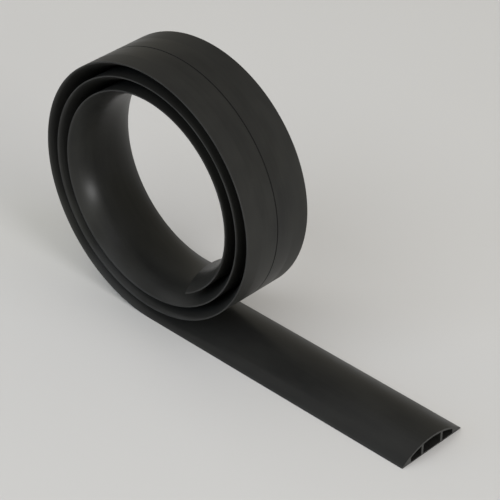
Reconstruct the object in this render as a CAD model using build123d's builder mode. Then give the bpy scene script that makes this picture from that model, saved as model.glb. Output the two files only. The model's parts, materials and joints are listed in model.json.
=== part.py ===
"""Floor cable cover: one extruded strip of soft PVC, 6 ft long, part-rolled with a tail lying flat.

The strip has a low domed top, thin edges and a flat underside.  Three cable channels run
its whole length, and a slit through the underside opens the middle one for its cable.
The tail lies on the floor with the dome up.  The rest is rolled with the underside outwards,
so that each turn's thin edges stand clear of the next and only the domes meet it.  The
hollow dome is pressed a little flatter in the roll than where the strip lies free.

Frame, in millimetres: +X along the tail towards its cut end, +Y across the strip and +Z up.
The origin is on the floor, in the middle of the space that the part takes up.
"""

import os
from math import degrees

from build123d import *

FOOT = 304.8

# The strip, as it is cut from the extrusion
cover_length = 6 * FOOT
cover_width = 57.4
free_crown = 10.7
rolled_crown = 9.7
edge_height = 0.8
edge_bevel = 0.2

# The walls round the three channels
dome_wall = 1.4
base_wall = 0.9
rib_wall = 1.9
rib_flare = 0.5
middle_channel = 16.7
side_channel = 10.1
slit_width = 0.3

# The roll: half turns of tangent arcs about two centres, each turn one pitch inside the last
outer_radius = 99.2
turn_clearance = 0.3
turn_pitch = rolled_crown + turn_clearance
shortest_arc = 0.01

# The tail: beside the roll it is still pressed flat, and from there it rises to its full height
tail_length = 232.1
pressed_run = 15
rising_run = 45
free_run = tail_length - pressed_run - rising_run
roll_x = (outer_radius - tail_length) / 2


def across(x):
    """The plane across the strip at x, with its local X along +Y and its local Y up."""
    return Plane(origin=(x, 0, 0), x_dir=(0, 1, 0), z_dir=(1, 0, 0))


def dome_radius(crown):
    """Radius of the arc over the strip's width that rises from the edges to the crown."""
    rise = crown - edge_height
    return ((cover_width / 2) ** 2 + rise**2) / (2 * rise)


def outline(crown):
    """The strip's outside: flat underside, thin bevelled edges and the dome."""
    with BuildSketch() as sketch:
        with BuildLine():
            underside = Line((-cover_width / 2, 0), (cover_width / 2, 0))
            right_edge = Line(underside @ 1, (cover_width / 2, edge_height))
            dome = ThreePointArc(right_edge @ 1, (0, crown), (-cover_width / 2, edge_height))
            Line(dome @ 1, underside @ 0)
        make_face()
        chamfer(sketch.vertices(), edge_bevel)
    return sketch.sketch


def channels(crown):
    """The three channels: the space inside the walls, parted by two ribs that flare into the dome."""
    roof_radius = dome_radius(crown) - dome_wall
    rib_offset = (middle_channel + rib_wall) / 2
    channels_width = middle_channel + 2 * (rib_wall + side_channel)

    with BuildSketch() as sketch:
        with Locations((0, crown - dome_wall - roof_radius)):
            Circle(roof_radius)
        with Locations((0, base_wall)):
            Rectangle(
                channels_width, crown, align=(Align.CENTER, Align.MIN), mode=Mode.INTERSECT
            )
        with Locations((-rib_offset, 0), (rib_offset, 0)):
            Rectangle(rib_wall, crown, align=(Align.CENTER, Align.MIN), mode=Mode.SUBTRACT)
        rib_tops = [
            corner
            for corner in sketch.vertices()
            if corner.Y > 2 * base_wall and abs(corner.X) < channels_width / 2 - rib_flare
        ]
        chamfer(rib_tops, rib_flare)
    return sketch.sketch


def section(crown):
    """The strip's whole section, with its channels and the slit into the middle one."""
    with BuildSketch() as sketch:
        add(outline(crown))
        add(channels(crown), mode=Mode.SUBTRACT)
        Rectangle(slit_width, 3 * base_wall, mode=Mode.SUBTRACT)
    return sketch.sketch


def winding():
    """The underside's line where it is pressed flat: a short straight, then half turn by half turn."""
    with BuildLine(Plane.XZ) as line:
        straight = Line((roll_x + pressed_run, 0), (roll_x, 0))
        start = straight @ 1
        heading = straight % 1
        radius = outer_radius
        left_over = cover_length - tail_length
        while left_over > shortest_arc:
            arc = JernArc(start, heading, radius, -min(180, degrees(left_over / radius)))
            start = arc @ 1
            heading = arc % 1
            left_over -= arc.length
            radius -= turn_pitch / 2
    return line.wire()


def build_cable_cover():
    """The strip as one solid: the free tail, the roll, and the stretch that rises between them."""
    rise_start = across(roll_x + pressed_run)
    rise_end = across(roll_x + pressed_run + rising_run)
    free_section = section(free_crown)
    rolled_section = section(rolled_crown)
    shells = (outline(rolled_crown), outline(free_crown))
    hollows = (channels(rolled_crown).faces(), channels(free_crown).faces())
    roll_line = winding()

    with BuildPart() as cable_cover:
        with BuildSketch(rise_end):
            add(free_section)
        extrude(amount=free_run)

        with BuildSketch(rise_start):
            add(rolled_section)
        sweep(path=roll_line)

        for plane, shell in zip((rise_start, rise_end), shells):
            with BuildSketch(plane):
                add(shell)
        loft(ruled=True)
        for ends in zip(*(faces.sort_by(Axis.X) for faces in hollows)):
            for plane, hollow in zip((rise_start, rise_end), ends):
                with BuildSketch(plane):
                    add(hollow)
            loft(ruled=True, mode=Mode.SUBTRACT)
        with BuildSketch(rise_start):
            Rectangle(slit_width, 3 * base_wall)
        extrude(amount=rising_run, mode=Mode.SUBTRACT)

    return cable_cover


cable_cover = build_cable_cover()
cable_cover.part.label = "cable_cover"

print(f"solids {len(cable_cover.part.solids())}, volume {cable_cover.part.volume:.0f}")

os.makedirs("parts", exist_ok=True)
export_step(cable_cover.part, "parts/cable_cover.step")
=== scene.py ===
"""Floor cable cover: a soft PVC strip, part-rolled, with its tail flat on a studio floor.

The strip is drawn as one closed section at the cut end of the tail, pulled along the floor
and wound half turn by half turn, the way the extruded strip itself is rolled up.
"""

import json
from math import cos, pi, radians, sin

import bmesh
import bpy
from bpy.props import FloatProperty, FloatVectorProperty, IntProperty, PointerProperty
from mathutils import Matrix, Vector

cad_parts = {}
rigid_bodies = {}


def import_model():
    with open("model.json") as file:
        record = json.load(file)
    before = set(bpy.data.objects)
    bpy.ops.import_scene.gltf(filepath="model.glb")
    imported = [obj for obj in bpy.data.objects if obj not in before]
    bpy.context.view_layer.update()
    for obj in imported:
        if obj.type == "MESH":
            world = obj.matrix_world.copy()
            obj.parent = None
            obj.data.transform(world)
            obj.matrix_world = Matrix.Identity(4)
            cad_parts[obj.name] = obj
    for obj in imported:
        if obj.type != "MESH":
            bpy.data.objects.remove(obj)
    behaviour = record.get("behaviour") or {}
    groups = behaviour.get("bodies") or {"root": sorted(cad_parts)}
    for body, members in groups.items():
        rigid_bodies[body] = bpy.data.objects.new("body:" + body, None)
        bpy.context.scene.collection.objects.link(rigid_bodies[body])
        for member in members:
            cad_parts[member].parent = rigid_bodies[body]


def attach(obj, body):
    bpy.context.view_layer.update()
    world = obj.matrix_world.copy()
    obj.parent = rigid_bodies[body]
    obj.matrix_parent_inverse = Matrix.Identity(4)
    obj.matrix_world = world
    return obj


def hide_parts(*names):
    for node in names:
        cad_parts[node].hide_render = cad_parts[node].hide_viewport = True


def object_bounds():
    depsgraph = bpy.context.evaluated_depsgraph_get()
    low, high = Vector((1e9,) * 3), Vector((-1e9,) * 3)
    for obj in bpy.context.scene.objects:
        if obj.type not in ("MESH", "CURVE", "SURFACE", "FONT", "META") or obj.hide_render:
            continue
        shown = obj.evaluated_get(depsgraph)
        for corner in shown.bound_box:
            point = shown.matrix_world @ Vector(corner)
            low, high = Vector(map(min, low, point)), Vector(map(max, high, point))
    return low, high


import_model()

bl_info = {
    "name": "Floor Cable Cover",
    "version": (1, 0, 0),
    "blender": (4, 5, 0),
    "location": "View3D > Sidebar > Cable Cover",
    "description": "A part-rolled floor cable cover in soft PVC, with its floor, lights and camera",
    "category": "Add Mesh",
}

MM = 0.001

# The space the CAD solid takes up, which the strip is drawn to
CAD_NODE = "cable_cover"
CAD_BOX = [list(corner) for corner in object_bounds()]
CUT_END_X = CAD_BOX[1][0]
ROLL_RADIUS = CAD_BOX[1][2] / 2
STRIP_WIDTH = CAD_BOX[1][1] - CAD_BOX[0][1]

# How finely the strip is made
DOME_FACETS = 240
ROUNDING_FACETS = 4
LIP_FACETS = 3
FREE_STEPS = 16
RISING_STEPS = 12
PRESSED_STEPS = 2
STEPS_PER_HALF_TURN = 84
SHARP_ANGLE = radians(50)
BISECT_REACH = 1e-8
MERGE_REACH = 1e-6

# The strip's material slots: slot 0 is the dome's skin, which the channels share
BASE_SLOT = 1
CUT_SLOT = 2
LIP_SLOT = 3

# The strip's finish: the shinier band on its underside, and the pale line along its edges, painted
# partly as wear and partly as the highlight the rounded edges catch
PVC_IOR = 1.53
BASE_BAND = 30.6 * MM
BAND_BLUR = 1 * MM
# Width of the pale edge line, which is partly wear and partly painted highlight
EDGE_WEAR_AND_SHEEN = 1.1 * MM

# Nearly all of a noise's values lie between these
NOISE_LOW = 0.35
NOISE_HIGH = 0.65

# The stage, in metres, with the point the camera looks at as seen from below the roll's axis
FLOOR_SIZE = 14
FLOOR_SHADE = 0.985
LAMP_AIM = (0, 0, 0.8 * ROLL_RADIUS)
LOOK_AT = (58.58 * MM, 10.81 * MM, 66.87 * MM)
CAMERA_REACH = 50
PHOTO_PIXELS = 500
SENSOR_WIDTH_MM = 36.0
AIR_STRENGTH = 0.41

# Each lamp: azimuth and elevation in degrees, distance, width and height in metres, watts, tint
SOFTBOXES = {
    "key_softbox": (353.5, 8, 4.5, 1.1, 0.9, 154, "ffffff"),
    "right_panel": (335, 20, 4.5, 2.0, 1.4, 22.0, "fbfff7"),
    "right_high_panel": (0, 55, 4.5, 2.6, 2.2, 32.0, "e6e4ff"),
    "front_left_panel": (245, 14, 4.5, 3.6, 1.3, 34.0, "a8ceff"),
    "front_panel": (270, 48, 4.5, 4.5, 2.4, 80.0, "f1f6ff"),
    "left_panel": (180, 30, 4.5, 2.6, 2.2, 30.0, "f8fbff"),
    "left_high_panel": (180, 60, 4.5, 3.0, 2.6, 22.6, "f8faff"),
}


def srgb(code):
    """A colour written as sRGB hex, such as 2b2c2e, as the linear values that shaders read."""
    parts = [int(code[i:i + 2], 16) / 255 for i in (0, 2, 4)]
    return [c / 12.92 if c <= 0.04045 else ((c + 0.055) / 1.055) ** 2.4 for c in parts]


class StripSizes(bpy.types.PropertyGroup):
    """The strip's section and how it is rolled."""

    width: FloatProperty(
        name="Width", description="Across the strip, edge to edge",
        default=STRIP_WIDTH, unit="LENGTH",
    )
    free_crown: FloatProperty(
        name="Free crown", description="Height of the dome where the strip lies free",
        default=10.7 * MM, unit="LENGTH",
    )
    rolled_crown: FloatProperty(
        name="Rolled crown", description="Height of the dome in the roll, a hair under the pitch",
        default=9.95 * MM, unit="LENGTH",
    )
    edge: FloatProperty(
        name="Edge", description="Height of the strip's thin edges",
        default=0.8 * MM, unit="LENGTH",
    )
    edge_rounding: FloatProperty(
        name="Edge rounding", description="How far the thin edges are rounded",
        default=0.25 * MM, unit="LENGTH",
    )
    dome_wall: FloatProperty(
        name="Dome wall", description="Wall over the channels",
        default=1.4 * MM, unit="LENGTH",
    )
    base_wall: FloatProperty(
        name="Base wall", description="Wall under the channels",
        default=0.9 * MM, unit="LENGTH",
    )
    rib_wall: FloatProperty(
        name="Rib", description="Wall between two channels",
        default=1.9 * MM, unit="LENGTH",
    )
    middle_channel: FloatProperty(
        name="Middle channel", description="Width of the middle channel",
        default=16.7 * MM, unit="LENGTH",
    )
    side_channel: FloatProperty(
        name="Side channel", description="Width of each side channel",
        default=10.1 * MM, unit="LENGTH",
    )
    channel_rounding: FloatProperty(
        name="Channel rounding", description="Rounding in the channels' corners",
        default=0.5 * MM, unit="LENGTH",
    )
    slit: FloatProperty(
        name="Slit", description="Gap between the slit's lips",
        default=0.3 * MM, unit="LENGTH",
    )
    lip_rounding: FloatProperty(
        name="Lip rounding", description="Rounding of the slit's lips",
        default=0.35 * MM, unit="LENGTH",
    )
    roll_radius: FloatProperty(
        name="Roll radius", description="Outside radius of the first half turn",
        default=ROLL_RADIUS, unit="LENGTH",
    )
    pitch: FloatProperty(
        name="Turn pitch", description="How far each turn lies inside the last",
        default=10.0 * MM, unit="LENGTH",
    )
    half_turns: IntProperty(
        name="Half turns", description="Whole half turns in the roll", default=5, min=1,
    )
    last_arc: FloatProperty(
        name="Last arc", description="The part turn at the inner end",
        default=radians(151), subtype="ANGLE",
    )
    pressed_run: FloatProperty(
        name="Pressed run", description="Straight beside the roll that is pressed flat",
        default=15 * MM, unit="LENGTH",
    )
    rising_run: FloatProperty(
        name="Rising run", description="Where the dome rises to its free height",
        default=45 * MM, unit="LENGTH",
    )
    cut_slant: FloatProperty(
        name="Cut slant", description="How far the tail's cut is out of square",
        default=radians(0.8), subtype="ANGLE",
    )


class StageLook(bpy.types.PropertyGroup):
    """The strip's colours, and the studio round it."""

    pvc: FloatVectorProperty(
        name="PVC", description="Colour of the soft PVC",
        subtype="COLOR", default=srgb("1f1f1e"), min=0, max=1,
    )
    pvc_bloom: FloatVectorProperty(
        name="Bloom", description="The PVC where its surface is cloudy or freshly cut",
        subtype="COLOR", default=srgb("262624"), min=0, max=1,
    )
    # Partly real wear, partly painted highlight: this pale edge colour also stands in for the light
    # the rounded edges catch
    pvc_rubbed_and_sheen: FloatVectorProperty(
        name="Rubbed", description="The PVC where its edges are rubbed",
        subtype="COLOR", default=srgb("343433"), min=0, max=1,
    )
    pvc_cut: FloatVectorProperty(
        name="Cut", description="The PVC where it is cut",
        subtype="COLOR", default=srgb("1f1f1e"), min=0, max=1,
    )
    # Painted shade: the slit's lips are coloured darker than the skin to stand in for the shade
    # inside the slit
    pvc_lips_painted_shade: FloatVectorProperty(
        name="Lips", description="The PVC inside the slit",
        subtype="COLOR", default=srgb("171716"), min=0, max=1,
    )
    pvc_shine: FloatProperty(
        name="Shine", description="Strength of the PVC's shine, 0.5 being a clean surface",
        subtype="FACTOR", default=0.11, min=0, max=1,
    )
    floor: FloatVectorProperty(
        name="Floor", description="Colour of the floor",
        subtype="COLOR", default=srgb("cbcac7"), min=0, max=1,
    )
    air: FloatVectorProperty(
        name="Air", description="Colour of the light from all round",
        subtype="COLOR", default=srgb("fff9e7"), min=0, max=1,
    )
    azimuth: FloatProperty(
        name="Azimuth", description="Where the camera stands, from +X",
        default=radians(-46.054), subtype="ANGLE",
    )
    elevation: FloatProperty(
        name="Elevation", description="How high the camera stands",
        default=radians(34.725), subtype="ANGLE",
    )
    roll: FloatProperty(
        name="Roll", description="Turn of the camera about its view",
        default=radians(0.042), subtype="ANGLE",
    )
    distance: FloatProperty(
        name="Distance", description="From the camera to the point it looks at",
        default=1458.7 * MM, unit="LENGTH",
    )
    focal_pixels: FloatProperty(
        name="Focal length", description="Focal length in pixels of the 500 pixel frame",
        default=2159.3,
    )


def select_only(obj):
    """Makes obj the active and only selected object."""
    bpy.ops.object.select_all(action="DESELECT")
    obj.select_set(True)
    bpy.context.view_layer.objects.active = obj


def pick(obj, kind, test):
    """In edit mode, selects only the vertices, edges or faces of obj that pass the test."""
    bpy.ops.mesh.select_mode(type=kind)
    bpy.ops.mesh.select_all(action="DESELECT")
    mesh = bmesh.from_edit_mesh(obj.data)
    items = {"VERT": mesh.verts, "EDGE": mesh.edges, "FACE": mesh.faces}[kind]
    count = 0
    for item in items:
        if test(item):
            item.select_set(True)
            count += 1
    mesh.select_flush_mode()
    bmesh.update_edit_mesh(obj.data)
    if not count:
        raise RuntimeError(f"no {kind.lower()} to select on {obj.name}")


def middle(item):
    """The middle of an edge or a face."""
    return sum((v.co for v in item.verts), Vector()) / len(item.verts)


def near(a, b, reach=0.01 * MM):
    """Whether two lengths are the same but for rounding."""
    return abs(a - b) < reach


def group(obj, name, test):
    """In edit mode, names the vertices that pass the test as a group, which later rings inherit."""
    pick(obj, "VERT", test)
    bpy.ops.object.vertex_group_assign_new()
    obj.vertex_groups.active.name = name


def in_group(obj, name):
    """The test of whether a vertex is in the named group."""
    index = obj.vertex_groups[name].index
    layer = bmesh.from_edit_mesh(obj.data).verts.layers.deform.active
    return lambda v: index in v[layer]


def paint(obj, slot):
    """In edit mode, gives the selected faces the material in that slot."""
    obj.active_material_index = slot
    bpy.ops.object.material_slot_assign()


def cut(place, direction, **kept):
    """Cuts what is linked to the selection by a plane through place, square to direction."""
    bpy.ops.mesh.select_linked()
    bpy.ops.mesh.bisect(plane_co=place, plane_no=direction, threshold=BISECT_REACH, **kept)


def trim(height, side):
    """Cuts away what lies under height and what lies further out than side."""
    cut((0, 0, height), (0, 0, 1), clear_inner=True)
    cut((0, side, 0), (0, 1, 0), clear_outer=True)
    cut((0, -side, 0), (0, 1, 0), clear_inner=True)


def dome_radius(sizes):
    """Radius of the free dome's arc over the strip's width, from edge to edge."""
    rise = sizes.free_crown - sizes.edge
    return ((sizes.width / 2) ** 2 + rise ** 2) / (2 * rise)


def dome_disc(sizes, thickness):
    """A disc across the strip at the cut end, whose rim lies that thickness inside the dome."""
    radius = dome_radius(sizes)
    return dict(
        vertices=DOME_FACETS,
        radius=radius - thickness,
        fill_type="NGON",
        align="WORLD",
        location=(CUT_END_X, 0, sizes.free_crown - radius),
        rotation=(pi / 2, 0, pi / 2),
    )


def draw_outline(sizes):
    """The outline of the section: the dome's disc cut off at the floor and at both edges."""
    bpy.ops.object.select_all(action="DESELECT")
    bpy.ops.mesh.primitive_circle_add(**dome_disc(sizes, 0))
    strip = bpy.context.object
    strip.name = "extruded_strip"
    bpy.ops.object.transform_apply(location=True, rotation=True, scale=True)
    bpy.ops.object.mode_set(mode="EDIT")
    bpy.ops.mesh.select_all(action="SELECT")
    trim(0, sizes.width / 2)
    pick(strip, "VERT", lambda v: near(abs(v.co.y), sizes.width / 2))
    bpy.ops.mesh.bevel(offset=sizes.edge_rounding, segments=ROUNDING_FACETS, affect="VERTICES")
    return strip


def draw_channels(strip, sizes):
    """The channels: a smaller disc cut off at the base wall, with the ribs taken out of it."""
    half_middle = sizes.middle_channel / 2
    rib_outside = half_middle + sizes.rib_wall
    half_channels = rib_outside + sizes.side_channel

    bpy.ops.mesh.select_all(action="DESELECT")
    bpy.ops.mesh.primitive_circle_add(**dome_disc(sizes, sizes.dome_wall))
    trim(sizes.base_wall, half_channels)
    for side in (half_middle, rib_outside, -half_middle, -rib_outside):
        cut((0, side, 0), (0, 1, 0))
    pick(strip, "FACE", lambda f: half_middle < abs(f.calc_center_median().y) < rib_outside)
    bpy.ops.mesh.delete(type="FACE")

    def channel_corner(v):
        walls = (half_middle, rib_outside, half_channels)
        return v.co.z > sizes.base_wall / 2 and any(near(abs(v.co.y), y) for y in walls)

    pick(strip, "VERT", channel_corner)
    bpy.ops.mesh.bevel(offset=sizes.channel_rounding, segments=ROUNDING_FACETS, affect="VERTICES")
    pick(strip, "FACE", lambda f: True)
    bpy.ops.mesh.delete(type="ONLY_FACE")


def draw_slit(strip, sizes):
    """The slit: underside and middle channel are opened at the middle line and joined there."""
    half_slit = sizes.slit / 2
    for height in (0, sizes.base_wall):
        pick(
            strip, "EDGE",
            lambda e: near(middle(e).y, 0) and all(near(v.co.z, height) for v in e.verts),
        )
        reach = max(abs(v.co.y) for v in bmesh.from_edit_mesh(strip.data).verts if v.select)
        # Two cuts leave points a third of the way out, which are then drawn in to the slit
        bpy.ops.mesh.subdivide(number_cuts=2)
        pick(strip, "VERT", lambda v: near(v.co.z, height) and near(abs(v.co.y), reach / 3))
        bpy.ops.transform.resize(
            value=(1, 3 * half_slit / reach, 1), center_override=(CUT_END_X, 0, height)
        )
        pick(strip, "EDGE", lambda e: near(e.calc_length(), sizes.slit) and near(middle(e).y, 0))
        bpy.ops.mesh.delete(type="EDGE")
    for side in (half_slit, -half_slit):
        pick(strip, "VERT", lambda v: near(v.co.y, side))
        bpy.ops.mesh.edge_face_add()
    pick(strip, "VERT", lambda v: near(abs(v.co.y), half_slit) and near(v.co.z, 0))
    bpy.ops.mesh.bevel(offset=sizes.lip_rounding, segments=LIP_FACETS, affect="VERTICES")


def name_parts(strip, sizes):
    """Groups the parts of the section that are pressed or painted by themselves later on."""
    centre_z = sizes.free_crown - dome_radius(sizes)

    def under_dome(v):
        from_centre = Vector((v.co.y, v.co.z - centre_z)).length
        return from_centre < dome_radius(sizes) - sizes.dome_wall / 2

    base_top = sizes.base_wall + sizes.channel_rounding
    group(strip, "dome", lambda v: v.co.z > sizes.edge and not under_dome(v))
    group(strip, "roof", lambda v: v.co.z > base_top and under_dome(v))
    group(strip, "underside", lambda v: near(v.co.z, 0))


def draw_section(sizes):
    """The strip's section at the cut end of the tail, as loops of edges."""
    strip = draw_outline(sizes)
    draw_channels(strip, sizes)
    draw_slit(strip, sizes)
    name_parts(strip, sizes)
    return strip


def pull(length, steps=1):
    """Extrudes the selected end of the strip along the floor, towards the roll."""
    for _ in range(steps):
        bpy.ops.mesh.extrude_edges_move(TRANSFORM_OT_translate={"value": (-length / steps, 0, 0)})


def dome_factor(sizes, share, thickness):
    """Height over the edges at that share of the rise, against the free height.

    It holds for the dome itself, or for the roof that lies that thickness inside it.
    """
    eased = share * share * (3 - 2 * share)
    inside = thickness + sizes.edge
    pressed = (sizes.rolled_crown - inside) / (sizes.free_crown - inside)
    return 1 + (pressed - 1) * eased


def press_dome(strip, sizes, x, before, after):
    """Lowers the dome and roof of the end ring at x, from one share of the rise to another."""
    for name, thickness in (("dome", 0), ("roof", sizes.dome_wall)):
        member = in_group(strip, name)
        pick(strip, "VERT", lambda v: near(v.co.x, x) and member(v))
        change = dome_factor(sizes, after, thickness) / dome_factor(sizes, before, thickness)
        bpy.ops.transform.resize(value=(1, 1, change), center_override=(x, 0, sizes.edge))
    pick(strip, "EDGE", lambda e: all(near(v.co.x, x) for v in e.verts))


def sweep_section(strip, sizes):
    """Pulls the section along the floor, presses its dome and winds it up."""
    roll_x = CAD_BOX[0][0] + sizes.roll_radius
    rise_x = roll_x + sizes.pressed_run + sizes.rising_run
    bpy.ops.mesh.select_mode(type="EDGE")
    bpy.ops.mesh.select_all(action="SELECT")
    pull(CUT_END_X - rise_x, FREE_STEPS)
    step = sizes.rising_run / RISING_STEPS
    for index in range(RISING_STEPS):
        pull(step)
        ring_x = rise_x - (index + 1) * step
        press_dome(strip, sizes, ring_x, index / RISING_STEPS, (index + 1) / RISING_STEPS)
    pull(sizes.pressed_run, PRESSED_STEPS)
    for index in range(sizes.half_turns + 1):
        angle = sizes.last_arc if index == sizes.half_turns else pi
        centre_z = sizes.roll_radius + (index % 2) * sizes.pitch / 2
        bpy.ops.mesh.spin(
            steps=round(STEPS_PER_HALF_TURN * angle / pi),
            angle=angle,
            center=(roll_x, 0, centre_z),
            axis=(0, -1, 0),
        )


def close_ends(strip, sizes):
    """Fills both cut ends, gives each face its finish and slants the tail's cut."""
    bpy.ops.mesh.fill(use_beauty=True)
    paint(strip, CUT_SLOT)
    pick(strip, "EDGE", lambda e: all(near(v.co.x, CUT_END_X) for v in e.verts))
    bpy.ops.mesh.fill(use_beauty=True)
    paint(strip, CUT_SLOT)
    bpy.ops.mesh.select_all(action="SELECT")
    bpy.ops.mesh.remove_doubles(threshold=MERGE_REACH)
    bpy.ops.mesh.normals_make_consistent(inside=False)

    underneath = in_group(strip, "underside")
    pick(strip, "FACE", lambda f: all(underneath(v) for v in f.verts))
    paint(strip, BASE_SLOT)

    # With a tenth to spare, only the slit's lips and walls lie this close to the middle line
    lip_reach = sizes.slit / 2 + 1.1 * sizes.lip_rounding

    def on_lip(f):
        return f.material_index != CUT_SLOT and all(abs(v.co.y) < lip_reach for v in f.verts)

    # The slit's lips get the darker material, whose colour paints the shade inside the slit
    pick(strip, "FACE", on_lip)
    paint(strip, LIP_SLOT)

    # The knife went through the tail a touch out of square
    pick(strip, "VERT", lambda v: near(v.co.x, CUT_END_X))
    far_corner = (CUT_END_X, sizes.width / 2, 0)
    bpy.ops.transform.rotate(value=sizes.cut_slant, orient_axis="Z", center_override=far_corner)
    bpy.ops.object.mode_set(mode="OBJECT")
    bpy.ops.object.vertex_group_remove(all=True)


def finish_strip(strip):
    """Smooth shading that keeps the cut ends crisp and the flat faces flat."""
    select_only(strip)
    bpy.ops.object.shade_smooth_by_angle(angle=SHARP_ANGLE)
    bpy.ops.object.modifier_add(type="WEIGHTED_NORMAL")
    strip.modifiers[-1].keep_sharp = True
    bpy.ops.object.modifier_apply(modifier=strip.modifiers[-1].name)


def add_node(tree, kind, inputs=None, **settings):
    """A shader node; each input takes a value, or the node or socket it is linked from."""
    node = tree.nodes.new(kind)
    for name, value in settings.items():
        setattr(node, name, value)
    for name, value in (inputs or {}).items():
        by_name = [socket for socket in node.inputs if socket.enabled and socket.name == name]
        socket = by_name[0] if by_name else node.inputs[name]
        if isinstance(value, bpy.types.Node):
            value = next(output for output in value.outputs if output.enabled)
        if isinstance(value, bpy.types.NodeSocket):
            tree.links.new(value, socket)
        else:
            socket.default_value = value
    return node


def new_material(name):
    """A material with an empty node tree."""
    material = bpy.data.materials.new(name)
    material.use_nodes = True
    material.node_tree.nodes.clear()
    return material


def pattern(tree, along, across, detail=2.0, offset=0.0):
    """Cloudy noise in cells of that size: the strip always runs in XZ, and Y is across it.

    Patterns of one material are offset from each other, so that they don't coincide.
    """
    place = add_node(tree, "ShaderNodeTexCoord")
    cells = add_node(
        tree, "ShaderNodeMapping",
        {
            "Vector": place.outputs["Object"],
            "Location": (offset, offset, offset),
            "Scale": (1 / along, 1 / across, 1 / along),
        },
    )
    return add_node(tree, "ShaderNodeTexNoise", {"Vector": cells, "Scale": 1, "Detail": detail})


def from_middle(tree, start, end, inner, outer):
    """A value across the strip: inner up to start from its middle line, outer from end on."""
    place = add_node(tree, "ShaderNodeTexCoord")
    parts = add_node(tree, "ShaderNodeSeparateXYZ", {"Vector": place.outputs["Object"]})
    side = add_node(tree, "ShaderNodeMath", {0: parts.outputs["Y"]}, operation="ABSOLUTE")
    return add_node(
        tree, "ShaderNodeMapRange",
        {"Value": side, "From Min": start, "From Max": end, "To Min": inner, "To Max": outer},
    )


def pvc_skin(look, name, smoothest, roughest, middle_shine):
    """Soft PVC as it leaves the die: the shared make-up of the dome's and the underside's skins.

    Carbon black makes it a deep neutral black, and plasticiser at the surface clouds it a
    little.  Die lines run along it; real ones are 0.2 to 0.5 mm apart and are drawn at
    1.6 mm, so that they show.  The same holds for the grain, which is 0.1 mm across and is
    drawn at 0.7 mm.  The thin edges are painted paler, partly as wear where they slide over
    the floor and partly as painted highlight where their rounding catches the light.
    """
    material = new_material(name)
    tree = material.node_tree
    die_lines = pattern(tree, along=140 * MM, across=1.6 * MM, detail=3)
    clouds = pattern(tree, along=42 * MM, across=17 * MM, detail=3, offset=7)
    grain = pattern(tree, along=0.7 * MM, across=0.7 * MM, detail=1)
    mottling = add_node(tree, "ShaderNodeMix", {"Factor": 0.25, "A": clouds, "B": die_lines})

    cloudy = add_node(
        tree, "ShaderNodeMapRange",
        {"Value": mottling, "From Min": NOISE_LOW, "From Max": NOISE_HIGH},
    )
    skin = add_node(
        tree, "ShaderNodeMix",
        {"Factor": cloudy, "A": (*look.pvc, 1), "B": (*look.pvc_bloom, 1)},
        data_type="RGBA",
    )
    # Painted highlight as well as wear: the edges are painted paler where their rounding catches
    # light
    thin_edge = from_middle(tree, STRIP_WIDTH / 2 - EDGE_WEAR_AND_SHEEN, STRIP_WIDTH / 2, 0, 1)
    scuffs = pattern(tree, along=9 * MM, across=2 * MM, offset=3)
    rubbed = add_node(tree, "ShaderNodeMath", {0: thin_edge, 1: scuffs}, operation="MULTIPLY")
    colour = add_node(
        tree, "ShaderNodeMix",
        {"Factor": rubbed, "A": skin, "B": (*look.pvc_rubbed_and_sheen, 1)},
        data_type="RGBA",
    )

    patchy = add_node(
        tree, "ShaderNodeMapRange",
        {
            "Value": mottling,
            "From Min": NOISE_LOW,
            "From Max": NOISE_HIGH,
            "To Min": smoothest,
            "To Max": roughest,
        },
    )
    band = from_middle(
        tree, BASE_BAND / 2 - BAND_BLUR, BASE_BAND / 2 + BAND_BLUR, -middle_shine, 0
    )
    roughness = add_node(tree, "ShaderNodeMath", {0: patchy, 1: band}, operation="ADD")
    line_relief = add_node(
        tree, "ShaderNodeBump", {"Height": die_lines, "Distance": 0.02 * MM, "Strength": 1}
    )
    relief = add_node(
        tree, "ShaderNodeBump",
        {"Height": grain, "Distance": 0.008 * MM, "Strength": 1, "Normal": line_relief},
    )
    shader = add_node(
        tree, "ShaderNodeBsdfPrincipled",
        {
            "Base Color": colour,
            "Roughness": roughness,
            "IOR": PVC_IOR,
            "Specular IOR Level": look.pvc_shine,
            "Normal": relief,
        },
    )
    add_node(tree, "ShaderNodeOutputMaterial", {"Surface": shader})
    return material


def dome_skin(look):
    """Soft PVC, extruded and cooled in air: a satin skin with soft highlights."""
    return pvc_skin(
        look, "soft PVC, extruded, air-cooled skin",
        smoothest=0.30, roughest=0.38, middle_shine=0,
    )


def base_skin(look):
    """Soft PVC, extruded over a flat plate: duller, but for a shinier band under the channels."""
    return pvc_skin(
        look, "soft PVC, extruded, plate-cooled skin",
        smoothest=0.40, roughest=0.50, middle_shine=0.08,
    )


def knife_cut(look):
    """Soft PVC cut with a knife: a paler, matt face with the drag of the blade across it.

    The blade's marks are some 0.1 mm apart and are drawn at 0.6 mm, so that they show.
    """
    material = new_material("soft PVC, knife-cut")
    tree = material.node_tree
    drag = pattern(tree, along=0.6 * MM, across=6 * MM, detail=3)
    streaks = add_node(
        tree, "ShaderNodeMapRange", {"Value": drag, "From Min": 0.3, "From Max": 0.7}
    )
    colour = add_node(
        tree, "ShaderNodeMix",
        {"Factor": streaks, "A": (*look.pvc_cut, 1), "B": (*look.pvc_bloom, 1)},
        data_type="RGBA",
    )
    roughness = add_node(
        tree, "ShaderNodeMapRange", {"Value": streaks, "To Min": 0.5, "To Max": 0.7}
    )
    relief = add_node(
        tree, "ShaderNodeBump", {"Height": drag, "Distance": 0.02 * MM, "Strength": 1}
    )
    shader = add_node(
        tree, "ShaderNodeBsdfPrincipled",
        {"Base Color": colour, "Roughness": roughness, "IOR": PVC_IOR, "Normal": relief},
    )
    add_node(tree, "ShaderNodeOutputMaterial", {"Surface": shader})
    return material


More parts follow.
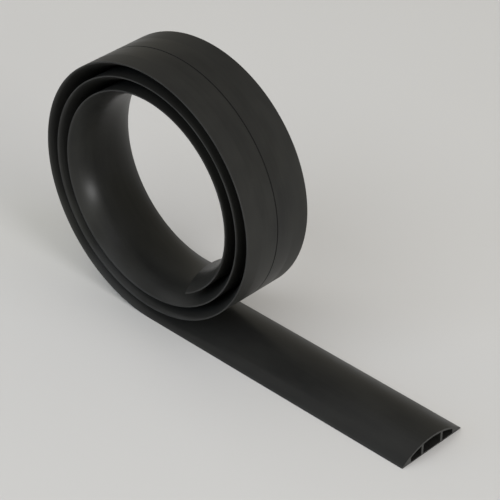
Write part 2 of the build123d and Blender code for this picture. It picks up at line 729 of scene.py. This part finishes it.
def slit_lips(look):
    """Soft PVC parted by a blade in the die: torn, matt lips, painted darker than the skin beside
    them to stand in for the shade inside the slit.

    The tears are some 0.3 mm long and are drawn at 1.2 mm, so that they show.
    """
    material = new_material("soft PVC, parted in the die, with painted shade")
    tree = material.node_tree
    tearing = pattern(tree, along=1.2 * MM, across=0.3 * MM)
    roughness = add_node(
        tree, "ShaderNodeMapRange", {"Value": tearing, "To Min": 0.65, "To Max": 0.9}
    )
    relief = add_node(
        tree, "ShaderNodeBump", {"Height": tearing, "Distance": 0.03 * MM, "Strength": 1}
    )
    # The dark base colour is painted shade inside the slit; the roughness and tears are the lips'
    # own
    shader = add_node(
        tree, "ShaderNodeBsdfPrincipled",
        {
            "Base Color": (*look.pvc_lips_painted_shade, 1),
            "Roughness": roughness,
            "IOR": PVC_IOR,
            "Specular IOR Level": look.pvc_shine,
            "Normal": relief,
        },
    )
    add_node(tree, "ShaderNodeOutputMaterial", {"Surface": shader})
    return material


def studio_floor(look):
    """Matt painted board: no shine to speak of, faint unevenness and the tooth of a roller."""
    material = new_material("matt emulsion paint, rolled on board")
    tree = material.node_tree
    uneven = pattern(tree, along=350 * MM, across=350 * MM)
    tooth = pattern(tree, along=1.5 * MM, across=1.5 * MM)
    darker = [c * FLOOR_SHADE for c in look.floor]
    colour = add_node(
        tree, "ShaderNodeMix",
        {"Factor": uneven, "A": (*darker, 1), "B": (*look.floor, 1)},
        data_type="RGBA",
    )
    roughness = add_node(
        tree, "ShaderNodeMapRange", {"Value": tooth, "To Min": 0.82, "To Max": 0.98}
    )
    relief = add_node(
        tree, "ShaderNodeBump", {"Height": tooth, "Distance": 0.01 * MM, "Strength": 1}
    )
    shader = add_node(
        tree, "ShaderNodeBsdfPrincipled",
        {
            "Base Color": colour,
            "Roughness": roughness,
            "Specular IOR Level": 0.2,
            "Normal": relief,
        },
    )
    add_node(tree, "ShaderNodeOutputMaterial", {"Surface": shader})
    return material


def lay_floor(look):
    """A plain pale floor under the part, wide enough that its end stays out of sight."""
    bpy.ops.object.select_all(action="DESELECT")
    bpy.ops.mesh.primitive_plane_add(size=FLOOR_SIZE, location=(0, 0, 0))
    floor = bpy.context.object
    floor.name = "studio_floor"
    floor.data.materials.append(studio_floor(look))


def fill_air(scene, look):
    """Even light from all round."""
    world = scene.world or bpy.data.worlds.new("studio air")
    scene.world = world
    world.use_nodes = True
    background = world.node_tree.nodes["Background"]
    background.inputs["Color"].default_value = (*look.air, 1)
    background.inputs["Strength"].default_value = AIR_STRENGTH


def hang_softbox(name, azimuth, elevation, distance, width, height, watts, tint):
    """An area lamp that stands round the part and faces its middle."""
    around, up = radians(azimuth), radians(elevation)
    away = Vector((cos(around) * cos(up), sin(around) * cos(up), sin(up)))
    bpy.ops.object.light_add(
        type="AREA",
        location=Vector(LAMP_AIM) + away * distance,
        rotation=away.to_track_quat("Z", "Y").to_euler(),
    )
    lamp = bpy.context.object
    lamp.name = name
    lamp.visible_camera = False
    lamp.data.shape = "RECTANGLE"
    lamp.data.size = width
    lamp.data.size_y = height
    lamp.data.energy = watts
    lamp.data.color = srgb(tint)


def set_camera(scene, look, roll_x):
    """The camera where the photograph was taken from."""
    target = Vector((roll_x, 0, 0)) + Vector(LOOK_AT)
    back = Vector((
        cos(look.azimuth) * cos(look.elevation),
        sin(look.azimuth) * cos(look.elevation),
        sin(look.elevation),
    ))
    bpy.ops.object.camera_add()
    camera = bpy.context.object
    camera.name = "photo_camera"
    camera.matrix_world = (
        Matrix.Translation(target + back * look.distance)
        @ Matrix.Rotation(look.azimuth + pi / 2, 4, "Z")
        @ Matrix.Rotation(pi / 2 - look.elevation, 4, "X")
        @ Matrix.Rotation(look.roll, 4, "Z")
    )
    camera.data.sensor_width = SENSOR_WIDTH_MM
    camera.data.lens = look.focal_pixels * SENSOR_WIDTH_MM / PHOTO_PIXELS
    camera.data.clip_end = CAMERA_REACH
    scene.camera = camera


class CABLECOVER_OT_strip(bpy.types.Operator):
    """Draw the section, pull it along the floor and wind it into the roll"""

    bl_idname = "cable_cover.strip"
    bl_label = "Extruded strip"

    def execute(self, context):
        sizes = context.scene.cable_cover_sizes
        look = context.scene.cable_cover_look
        strip = draw_section(sizes)
        for material in (dome_skin(look), base_skin(look), knife_cut(look), slit_lips(look)):
            strip.data.materials.append(material)
        sweep_section(strip, sizes)
        close_ends(strip, sizes)
        finish_strip(strip)
        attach(strip, "root")
        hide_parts(CAD_NODE)
        return {"FINISHED"}


class CABLECOVER_OT_stage(bpy.types.Operator):
    """Lay the floor, hang the lights and set the camera where the photograph was taken from"""

    bl_idname = "cable_cover.stage"
    bl_label = "Stage"

    def execute(self, context):
        look = context.scene.cable_cover_look
        lay_floor(look)
        fill_air(context.scene, look)
        for name, place in SOFTBOXES.items():
            hang_softbox(name, *place)
        roll_x = CAD_BOX[0][0] + context.scene.cable_cover_sizes.roll_radius
        set_camera(context.scene, look, roll_x)
        context.scene.view_settings.view_transform = "Standard"
        return {"FINISHED"}


class CABLECOVER_PT_panel(bpy.types.Panel):
    """The cable cover's sizes, finish and making"""

    bl_label = "Cable Cover"
    bl_idname = "CABLECOVER_PT_panel"
    bl_space_type = "VIEW_3D"
    bl_region_type = "UI"
    bl_category = "Cable Cover"

    def draw(self, context):
        for settings in (context.scene.cable_cover_sizes, context.scene.cable_cover_look):
            box = self.layout.box()
            for name in settings.__annotations__:
                box.prop(settings, name)
        for operator in (CABLECOVER_OT_strip, CABLECOVER_OT_stage):
            self.layout.operator(operator.bl_idname)


CLASSES = (
    StripSizes,
    StageLook,
    CABLECOVER_OT_strip,
    CABLECOVER_OT_stage,
    CABLECOVER_PT_panel,
)


def register():
    for cls in CLASSES:
        bpy.utils.register_class(cls)
    bpy.types.Scene.cable_cover_sizes = PointerProperty(type=StripSizes)
    bpy.types.Scene.cable_cover_look = PointerProperty(type=StageLook)


def unregister():
    del bpy.types.Scene.cable_cover_look
    del bpy.types.Scene.cable_cover_sizes
    for cls in reversed(CLASSES):
        bpy.utils.unregister_class(cls)


def main():
    register()
    bpy.ops.cable_cover.strip()
    bpy.ops.cable_cover.stage()


if __name__ == "__main__":
    main()
